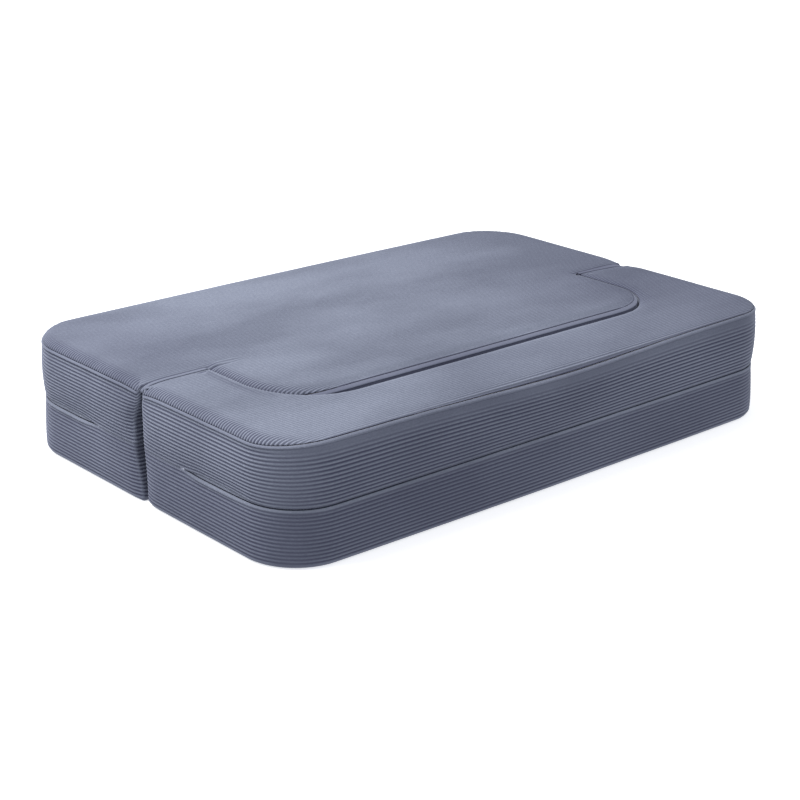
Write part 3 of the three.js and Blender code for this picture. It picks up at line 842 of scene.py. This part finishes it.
# The welt from the wall up to the seam: drop and reach where the seam is at the edge, the same
# where it lies on top, and how deep in shade it is.
WELT_ROWS = (
    (0.0060, -0.0012, 0.0078, -0.0004, 0.7),
    (0.0055, -0.0002, 0.0070, 0.0004, 0.4),
    (0.0050, 0.0014, 0.0060, 0.0009, 0.1),
    (0.0042, 0.0021, 0.0046, 0.0008, 0.0),
    (0.0030, 0.0019, 0.0032, -0.0002, 0.0),
    (0.0016, 0.0010, 0.0020, -0.0018, 0.0),
    (0.0010, 0.0004, 0.0011, -0.0034, 0.0),
    (0.0004, -0.0003, 0.0006, -0.0044, 0.1),
    (0.0002, -0.0010, 0.0010, -0.0054, 0.9),
    (0.0004, -0.0024, 0.0020, -0.0066, 1.0),
)
# How far in WELT_ROWS brings the welt. It is drawn out from this to where the seam really lies.
WELT_REACH = 0.0050
# Rows of the edge at the zip: out from the plan, and back from the edge.
ZIP_EDGE = ((-0.0025, 0.0012), (-0.0018, 0.0003), (-0.0009, 0.0), (-0.0002, 0.0006))
# Rows of the zip edge further out than this get the lower lip's painted highlight.
LIT_FROM = -0.001
# Rows of the edge that is turned in under the cushion: height, and out from the plan.
TURNED_IN = ((0.0034, -0.0028), (0.0014, -0.0045), (0.0008, -0.0070), (0.0010, -0.009))
# Heights of the rows on the back of each width.
UPPER_BACK = (0.228, 0.2, 0.165, 0.14)
LOWER_BACK = (0.014, 0.04, 0.08, 0.108)
BAND_THICK = 0.0036
SWAY = 0.0012
ROLLED_OUT = 0.0020
ROLLED_LENGTH = 0.009


def wall_puff(height, low, high, skew):
    """Share of the puff at a height between a wall's seams. The lower width sags, so a skew
    below 1 makes it fullest near the floor."""
    share = np.clip((height - low) / (high - low), 0, 1)
    return np.sin(np.pi * share**skew) ** 0.8


def wrap(prefix, at, normal, section, columns):
    """Cloth along stations, its rows closed into a tube, and the station of each of its points.
    section gives for each row its distance out, its height and its painted shade."""
    rows = len(section)
    bm = bmesh.new()
    bmesh.ops.create_grid(bm, x_segments=columns, y_segments=rows, size=0.5)
    grid = np.array([v.co for v in bm.verts])
    column = np.rint((grid[:, 0] + 0.5) * columns).astype(int) % len(at)
    row = np.rint((grid[:, 1] + 0.5) * rows).astype(int) % rows
    table = np.array([[np.broadcast_to(part, len(at)) for part in line] for line in section])
    out, height, dark = table[row, :, column].T
    reach = out[:, None] * normal[column]
    placed = np.concatenate([at[column] + reach, height[:, None]], 1)
    lay_cloth(prefix, bm, placed, dark)
    return bm, column


def band_rows(prefix, upper):
    """The rows of one width of band: the zip's edge, the ribbed wall, the far edge and the back."""
    rim = RIMS[prefix]
    across = rim["normal"][:, 0] ** 2
    even = np.ones(len(across))
    seam = seam_height(prefix, rim["at"], rim["normal"]) - 0.0006
    on_top = on_top_share(prefix, rim["at"], rim["normal"])
    reach = np.where(rim["facing_gap"], TONGUE_IN, SEAM_IN) / WELT_REACH
    # Painted shade on the welt, on the tongue's band in the gap, and at the backrest's near left
    # corner.
    gap_welt = GAP_SHADE if prefix == "seat" else OPENING_WELT_SHADE
    welt_shade = np.where(rim["facing_gap"], gap_welt, WELT_SHADE + 0.12 * across)
    in_gap = GAP_SHADE * rim["facing_gap"] * (prefix == "seat")
    near_corner = across * (1 - across) * rim["outer"] * (rim["at"][:, 0] < 0)
    corner_shade = CORNER_SHADE * 4 * near_corner * (rim["at"][:, 1] < 0)
    lowered = np.where(rim["facing_gap"], 0.6, 1.0)
    bead = np.where(rim["outer"], 1.0, 0.2)
    welt = WELT_ROWS[0][0] * (1 - on_top) + WELT_ROWS[0][2] * on_top * lowered
    flattened = 1 - 1.6 * across * (1 - across)
    contrast = flattened * (1.0 if upper else 0.92 + 0.08 * across)
    edge_at = np.concatenate([rim["at"], even[:, None] * ZIP], 1)
    sway = SWAY * wander(edge_at, 0.22, 4)
    fullness = rim["puff"] * (1 + 0.25 * wander(edge_at, 0.3, 9))
    side = 1 if upper else -1
    rest = ZIP + side * CLOSED_LIP
    lip = rest + side * (UPPER_LIP if upper else LOWER_LIP) * rim["gape"]
    far = seam if upper else even * BASE_SEAM
    plain = welt + PLAIN_SHORT + (PLAIN_LONG - PLAIN_SHORT) * on_top
    skew = np.where(rim["facing_gap"], 6.0, 1.0) if upper else 0.45
    low, high = np.minimum(rest, far), np.maximum(rest, far)
    rows = []

    def add(rise, out, dark):
        """A row at an unswayed height, pushed out by the puff and by out."""
        bulge = PUFF * fullness * wall_puff(rise, low, high, skew)
        near = np.exp(-np.abs(rise - rest) / LIP_REACH)
        fade = np.clip(np.abs(rise - far) / 0.09, 0, 1)
        height = rise + (lip - rest) * near + sway * fade
        rows.append((bulge + out, height, dark))

    # The edge at the zip is rolled under, in painted shade. The lower one is painted lighter, a
    # painted highlight where it catches the light, most on the long faces.
    lit = 0.0 if upper else smooth_step(0.0, 0.1, rim["gape"]) * (1 - 0.55 * across)
    for out, back in ZIP_EDGE:
        add(rest + side * back, out, 0.5 * (1 - lit * (out > LIT_FROM)))
    # The ribbed wall, up or down from the zip. The count of ribs doesn't change along it.
    length = (SEAM_SHORT - welt.min() - 0.001 - rest) if upper else (rest - BASE_SEAM - 0.005)
    count = int(length / RIB) + 2
    for phase in [k + share for k in range(count) for share in RIB_ROWS]:
        run = phase * RIB
        if run < 0.0016 or run > length:
            continue
        rise = rest + side * run
        if upper:
            stretched = rest + run * (seam - welt - rest) / (length + 0.0005)
            fade = 0.005 + (PLAIN_FADE - 0.005) * on_top
            calm = np.clip((seam - plain - stretched + 0.004) / fade, 0, 1) ** 0.8
        else:
            stretched = rise
            calm = 1 - rim["gape"] * (1 - smooth_step(0.007, 0.010, run))
        tuck = 0.0 if upper else -0.002 * max(0, 1 - (rise - BASE_SEAM) / 0.008) ** 2
        deep = rib_depth(phase) * calm * contrast
        roll = math.sin(math.pi * min(1, run / ROLLED_LENGTH))
        rolled = ROLLED_OUT * (1 - calm) * roll * (not upper)
        # Painted shade: in the rib grooves, on the plain width under the seam, over the lower
        # width, in the gap and at the corner.
        plain_shade = PLAIN_SHADE * (1 - calm) * on_top * upper
        base = np.maximum(in_gap, corner_shade + (0 if upper else LOWER_SHADE))
        shade = base + (1 - base) * np.minimum(1, deep + plain_shade)
        # The lower lip's painted highlight goes on a little way down the wall.
        shade = shade * (1 - lit * (1 - smooth_step(LIT_LIP, LIT_LIP + 0.0025, run)))
        add(stretched, tuck - RIB_DEPTH * deep + rolled, shade)
    if upper:
        # The welt at the top seam, with its painted shade, deeper in the gap.
        for drop_edge, out_edge, drop_top, out_top, dark in WELT_ROWS:
            drop = drop_edge * (1 - on_top) + drop_top * on_top * lowered
            if out_top < 0:
                out_top = out_top * reach
            below = in_gap * (drop_top > 0.004)
            shade = np.maximum(np.maximum(dark, welt_shade), below)
            add(seam - drop, out_edge * bead * (1 - on_top) + out_top * on_top, shade)
    else:
        # The edge under the cushion, turned in, in painted shade.
        for rise, out in TURNED_IN:
            add(rise, out, 0.3)
    # The back of the cloth, in full painted shade.
    for rise in UPPER_BACK if upper else LOWER_BACK:
        add(rise, -BAND_THICK, 1.0)
    return rows


for prefix in PLANS:
    at, normal = RIMS[prefix]["at"], RIMS[prefix]["normal"]
    for part in ("upper", "lower"):
        bm, _ = wrap(prefix, at, normal, band_rows(prefix, part == "upper"), len(at))
        close_up(bm)
        band = object_from(bm, f"{prefix}_{part}_side", VELVET_SIDE)
        dress(band, prefix, f"{part}_band")


# Zips
# Behind the lips a narrow flap of velvet covers the zip, which is two tapes with moulded teeth. A
# bar of stitches closes either end of the slit. The flap stops short of the stretch at the right
# where the slider runs, so that the slider never cuts through it.
FLAP_DEPTH = 0.0030
FLAP_FOOT = 0.0022
FLAP_OUT = 0.0026
FLAP_TUCK = 0.012
FLAP_WALL = 0.0008
TEETH_DEPTH = 0.0041
TAPE_DEPTH = 0.0046
TAPE_WALL = 0.001
TAPE_HEIGHT = 0.014
CHAIN_HALF_GAP = 0.0006
TOOTH = (0.0019, 0.0014, 0.0020)
TOOTH_STEP = 0.0028
# The room that the parked slider has, and how much of the zip it and its travel keep bare.
PARKED = 0.032
BAY = {"seat": PARKED + 0.155, "backrest": PARKED + 0.190}
FLAP_RIB = 0.0021

ZIP_TAPE = make_material("zip_tape", (0.075, 0.085, 0.13), 0.8)
STITCHING = make_material("stitching", (0.52, 0.54, 0.63), 0.6)


def zip_run(prefix, bare=0.0):
    """Stations of a zip from tack to tack. bare leaves that length free at the right end."""
    rim = RIMS[prefix]
    reach = np.abs(rim["at"][:, 1])
    limit = ZIP_END[prefix] + np.where(rim["at"][:, 0] > 0, bare, 0)
    inside = rim["outer"] & (reach > limit)
    first = next(i for i in range(len(inside)) if inside[i] and not inside[i - 1])
    order = [(first + k) % len(inside) for k in range(inside.sum())]
    at, normal = rim["at"][order], rim["normal"][order]
    ends = []
    for end in (0, -1):
        place = at[end].copy()
        place[1] = AWAY[prefix] * limit[order[end]]
        ends.append(place)
    at = np.concatenate([[ends[0]], at, [ends[1]]])
    normal = np.concatenate([normal[:1], normal, normal[-1:]])
    gape = np.concatenate([[0], rim["gape"][order], [0]])
    return at, normal, gape


def lengths(at):
    """The steps between the stations of a zip, and how far along it each station lies."""
    steps = np.hypot(*np.diff(at, axis=0).T)
    return steps, np.concatenate([[0], np.cumsum(steps)])


def along_zip(prefix, section, bare=0.0):
    """A closed strip along a zip. section lists its rows as (depth, height, painted shade)."""
    at, normal, _ = zip_run(prefix, bare)
    section = [(-depth, height, dark) for depth, height, dark in section]
    bm, column = wrap(prefix, at, normal, section, len(at) - 1)
    _, run = lengths(at)
    along = bm.verts.layers.float.new("run")
    for vert, k in zip(bm.verts, column):
        vert[along] = run[k] / FLAP_RIB * 2 * math.pi
    close_up(bm)
    return bm


def flap(prefix):
    _, _, gape = zip_run(prefix, BAY[prefix])
    foot = ZIP - LOWER_LIP * gape + FLAP_FOOT * (0.3 + 0.7 * gape)
    top = ZIP + FLAP_TUCK
    lip = ZIP + 0.0002 + UPPER_LIP * gape + 0.0012
    out = FLAP_OUT * gape
    # The flap's foot is painted dark: painted shade in the slit above the lower lip.
    section = [
        (FLAP_DEPTH - out + 0.0003, foot, 0.9),
        (FLAP_DEPTH - out, foot + 0.0004, 0.9),
        (FLAP_DEPTH - out, foot + 0.0015, 0.3),
        (FLAP_DEPTH - 0.6 * out, foot + 0.6 * (lip - foot), 0),
        (FLAP_DEPTH, lip, 0),
        (FLAP_DEPTH, top, 0),
        (FLAP_DEPTH + FLAP_WALL, top, 0),
        (FLAP_DEPTH + FLAP_WALL, lip, 0),
        (FLAP_DEPTH - out + 0.0009, foot + 0.0008, 0),
    ]
    bm = along_zip(prefix, section, BAY[prefix])
    piece = object_from(bm, f"{prefix}_zip_flap", VELVET_FLAP)
    dress(piece, prefix, "zip_placket")


def tape(prefix, side):
    """One tape with its row of teeth. side is 1 above the zip line and -1 below it."""
    edge = ZIP + side * CHAIN_HALF_GAP
    near, far = edge + side * 0.001, edge + side * TAPE_HEIGHT
    back = TAPE_DEPTH + TAPE_WALL
    section = [(TAPE_DEPTH, near, 0), (TAPE_DEPTH, far, 0), (back, far, 0), (back, near, 0)]
    bm = along_zip(prefix, section)
    at, normal, _ = zip_run(prefix)
    steps, run = lengths(at)
    first = TOOTH_STEP * (0.5 if side > 0 else 1.0)
    for reach in np.arange(first, run[-1], TOOTH_STEP):
        k = min(int(np.searchsorted(run, reach, side="right")) - 1, len(steps) - 1)
        share = (reach - run[k]) / steps[k]
        place = at[k] * (1 - share) + at[k + 1] * share
        outward = normal[k] * (1 - share) + normal[k + 1] * share
        outward /= np.hypot(*outward)
        place = place - outward * (TEETH_DEPTH + TOOTH[0] / 2)
        middle = ZIP + side * (CHAIN_HALF_GAP + TOOTH[2] / 2)
        centre = Matrix.Translation(shaped(prefix, np.array([[*place, middle]]))[0])
        upright = Matrix.Rotation(math.atan2(outward[1], outward[0]), 4, "Z")
        size = Matrix.Diagonal((*TOOTH, 1))
        bmesh.ops.create_cube(bm, size=1, matrix=centre @ upright @ size)
    word = "upper" if side > 0 else "lower"
    piece = object_from(bm, f"{prefix}_{word}_tape", ZIP_TAPE)
    piece.data.shade_flat()
    dress(piece, prefix, f"{word}_zip_tape")


TACK_LENGTH = 0.014
TACK_HEIGHT = 0.0085
TACK_BOW = 0.0014
THREAD = 0.0006
STITCH_STEP = 2.1 * THREAD
STITCH_LEAN = 0.18
HANDS = {1: "right", -1: "left"}


def tack(prefix, hand):
    """A bar of zigzag stitches laid over the end of the slit."""
    bm = bmesh.new()
    start = ZIP_END[prefix] - 0.002
    for k in range(int(TACK_LENGTH / STITCH_STEP)):
        y = AWAY[prefix] * (start - TACK_LENGTH / 2 + STITCH_STEP * k + 0.004)
        lean = Matrix.Rotation(STITCH_LEAN * (1 if k % 2 else -1), 4, "X")
        place = Matrix.Translation((hand * (HALF + 0.0005), y, ZIP))
        bmesh.ops.create_cone(
            bm,
            cap_ends=True,
            segments=8,
            radius1=THREAD,
            radius2=THREAD,
            depth=TACK_HEIGHT,
            matrix=place @ lean,
        )
    for vert in bm.verts:
        bow = 1 - ((vert.co.z - ZIP) / (TACK_HEIGHT / 2)) ** 2
        vert.co.x += hand * (TACK_BOW * bow - 0.0008)
    bmesh.ops.recalc_face_normals(bm, faces=bm.faces)
    piece = object_from(bm, f"{prefix}_{HANDS[hand]}_bar_tack", STITCHING)
    dress(piece, prefix, f"{HANDS[hand]}_zip_tack")


for prefix in PLANS:
    flap(prefix)
    for side in (1, -1):
        tape(prefix, side)
        tack(prefix, side)

ZIP_METAL = make_material("zip_metal", (0.42, 0.42, 0.45), 0.34, 1.0)
for prefix in PLANS:
    for part in ("slider", "pull"):
        casting = bpy.data.objects[f"{prefix}_zip_{part}"]
        casting.data.materials.clear()
        casting.data.materials.append(ZIP_METAL)
        rounding = casting.modifiers.new("rounding", "BEVEL")
        rounding.width = 0.00015
        rounding.segments = 2


# Hinge strips
# Two strips of doubled velvet join the arms to the seat along the top. Each is sewn down along
# both edges, and the seams show as two thin grooves with painted shade in them. Each strip is
# painted darker all over as well, most on the right. The right one is pulled open a little more.
STRIP_HALF = HINGE_GAP - 0.0002
STRIP_TOP = 0.2572
STRIP_WALL = 0.0022
STRIP_ENDS = (OPENING_HALF + 0.001, HALF - 0.003)
STRIP_COLUMNS = 40
STRIP_ROWS = 20
STRIP_SEAM_DIP = 0.0030
# Painted shade over each strip, most on the right one, which slopes away from the light.
STRIP_SHADE = {-1: 0.42, 1: 0.78}
STRIP_SAG = {-1: 0.0, 1: 0.0005}


def hinge_strip(hand):
    inner, outer = STRIP_ENDS
    bm = bmesh.new()
    bmesh.ops.create_grid(bm, x_segments=STRIP_COLUMNS, y_segments=2 * STRIP_ROWS, size=0.5)
    painted_shade = bm.verts.layers.float.new("painted_shade")
    for vert in bm.verts:
        turn = (vert.co.y + 0.5) * 2
        across = (turn if turn <= 1 else 2 - turn) * 2 - 1
        x = inner + (outer - inner) * (vert.co.x + 0.5)
        opened = float(right_opening(hand * x))
        y = across * (STRIP_HALF + opened / 2) - opened / 2
        roll = (CROWN - SEAM_SHORT) * (1 - crown_share(HALF - x))
        roll += END_DIP * max(0, 1 - (HALF - x) / DIP_REACH) ** 2
        dip = STRIP_SEAM_DIP * abs(across) ** 10 + STRIP_SAG[hand] * (1 - across**2)
        wall = 0.0 if turn <= 1 else STRIP_WALL * (1 - 0.6 * across**4)
        vert.co = (hand * x, y, STRIP_TOP - roll - dip - wall)
        # Painted shade: dark along the sewn edges, and at least the strip's own painted shade.
        vert[painted_shade] = max(abs(across) ** 4, STRIP_SHADE[hand])
    close_up(bm)
    strip = object_from(bm, f"{HANDS[hand]}_fabric_hinge", VELVET_TOP)
    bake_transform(strip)
    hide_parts(f"{HANDS[hand]}_hinge_strip")


for hand in (-1, 1):
    hinge_strip(hand)


# Underside
# The seat has a dark non-slip fabric with rows of small grip dots. The backrest's underside is
# ribbed velvet, because it is the one that shows when the bed is folded into a sofa.
BASE_INSETS = (0.0006, 0.0012, 0.002)
BASE_ROWS = (0.0, 0.25, 0.5, 0.75)
BASE_EDGE = 0.0085
BASE_COLUMN_STEP = 0.06
BASE_TURN_UP = 0.0022
BASE_RIB_DEPTH = 0.0014
BASE_WALL = 0.0016
DOT_STEP = 0.009
DOT_COLOUR = (0.11, 0.115, 0.13)
NON_SLIP_COLOUR = (0.045, 0.05, 0.065)

NON_SLIP = make_material("non_slip_fabric", NON_SLIP_COLOUR, 0.8)
nodes, links = NON_SLIP.node_tree.nodes, NON_SLIP.node_tree.links
dots = pattern(NON_SLIP, "Voronoi", 1 / DOT_STEP)
dots.inputs["Randomness"].default_value = 0.0
dot_edge = nodes.new("ShaderNodeMapRange")
dot_edge.inputs["From Min"].default_value = 0.12
dot_edge.inputs["From Max"].default_value = 0.2
dot_edge.inputs["To Min"].default_value = 1.0
dot_edge.inputs["To Max"].default_value = 0.0
links.new(dots.outputs["Distance"], dot_edge.inputs["Value"])
dotted = mixed(NON_SLIP, dot_edge.outputs["Result"], (*NON_SLIP_COLOUR, 1), (*DOT_COLOUR, 1))
links.new(dotted.outputs["Result"], nodes["Principled BSDF"].inputs["Base Color"])


def underside(prefix):
    ribbed = prefix == "backrest"
    columns = {round(x * BASE_COLUMN_STEP, 4) for x in range(-11, 12)}
    rows = BASE_ROWS if ribbed else (0.0,)
    bm = flat_cut(prefix, BASE_INSETS, columns, rows, inset=BASE_EDGE)
    flat = np.array([v.co for v in bm.verts])
    distance, _ = nearest_on_rim(flat[:, :2], outline(prefix, BASE_EDGE))
    deep = rib_depth(flat[:, 1] / RIB) if ribbed else np.zeros(len(flat))
    turn_up = BASE_TURN_UP * np.maximum(0, 1 - distance / 0.004) ** 2
    placed = np.concatenate([flat[:, :2], (turn_up + BASE_RIB_DEPTH * deep)[:, None]], 1)
    # Painted shade in the rib grooves of the backrest's underside.
    lay_cloth(prefix, bm, placed, 0.8 * deep)
    bmesh.ops.reverse_faces(bm, faces=bm.faces)
    bmesh.ops.solidify(bm, geom=bm.faces[:], thickness=BASE_WALL)
    bmesh.ops.recalc_face_normals(bm, faces=bm.faces)
    lowest = min(v.co.z for v in bm.verts)
    bmesh.ops.translate(bm, verts=bm.verts, vec=(0, 0, -lowest))
    piece = object_from(bm, f"{prefix}_underside", VELVET_TOP if ribbed else NON_SLIP)
    dress(piece, prefix, "base_panel")


for prefix in PLANS:
    underside(prefix)


# Foam and liner
# Inside each cover a thin white bag holds two layers of foam, the softer one on top. The bag's
# mouth is in the side that faces the hinge line.
FOAM_INSET = 0.0130
LINER_INSET = 0.0105
FOAM_FLOOR = 0.0062
FOAM_SPLIT = ZIP
FOAM_TOP = 0.2482
LINER_FLOOR = 0.0048
LINER_TOP = 0.2500
LINER_WALL = 0.0007
LAYER_GAP = 0.0002
FOAM_ROUNDING = 0.003
LINER_ROUNDING = 0.004
PORE_SCALE = 420
MOUTH_X = HALF - ARM / 2
MOUTH_REACH = 0.047
MOUTH_DEPTH = 0.022
MOUTH_LOW = 0.145
MOUTH_HIGH = 0.215


def foam_material(name, colour):
    material = make_material(name, colour, 0.95)
    pores = pattern(material, "Voronoi", PORE_SCALE)
    roughen(material, pores.outputs["Distance"], 0.5, 0.001)
    return material


SOFT_FOAM = foam_material("comfort_foam", (0.88, 0.82, 0.63))
FIRM_FOAM = foam_material("support_foam", (0.70, 0.73, 0.76))
LINER_CLOTH = make_material("liner_fabric", (0.82, 0.81, 0.78), 0.9)


def place_inside(bm, prefix):
    """Gives a block the shape of the stuffed cushion round it."""
    bmesh.ops.triangulate(bm, faces=[face for face in bm.faces if len(face.verts) > 4])
    points = np.array([v.co for v in bm.verts])
    for vert, place in zip(bm.verts, shaped(prefix, points)):
        vert.co = place
    bmesh.ops.recalc_face_normals(bm, faces=bm.faces)


for prefix in PLANS:
    for part, low, high, material in (
        ("comfort", FOAM_SPLIT + LAYER_GAP, FOAM_TOP, SOFT_FOAM),
        ("support", FOAM_FLOOR, FOAM_SPLIT - LAYER_GAP, FIRM_FOAM),
    ):
        foam = block(prefix, FOAM_INSET, low, high, FOAM_ROUNDING)
        place_inside(foam, prefix)
        piece = object_from(foam, f"{prefix}_{part}_layer", material)
        dress(piece, prefix, f"{part}_foam")

    bag = block(prefix, LINER_INSET, LINER_FLOOR, LINER_TOP, LINER_ROUNDING)
    middles = {face: face.calc_center_median() for face in bag.faces}
    mouth = [
        face
        for face, middle in middles.items()
        if abs(middle.x - MOUTH_X) < MOUTH_REACH
        and abs(middle.y) < MOUTH_DEPTH
        and MOUTH_LOW < middle.z < MOUTH_HIGH
    ]
    bmesh.ops.delete(bag, geom=mouth, context="FACES")
    place_inside(bag, prefix)
    bmesh.ops.solidify(bag, geom=bag.faces[:], thickness=LINER_WALL)
    piece = object_from(bag, f"{prefix}_liner_bag", LINER_CLOTH)
    dress(piece, prefix, "liner")
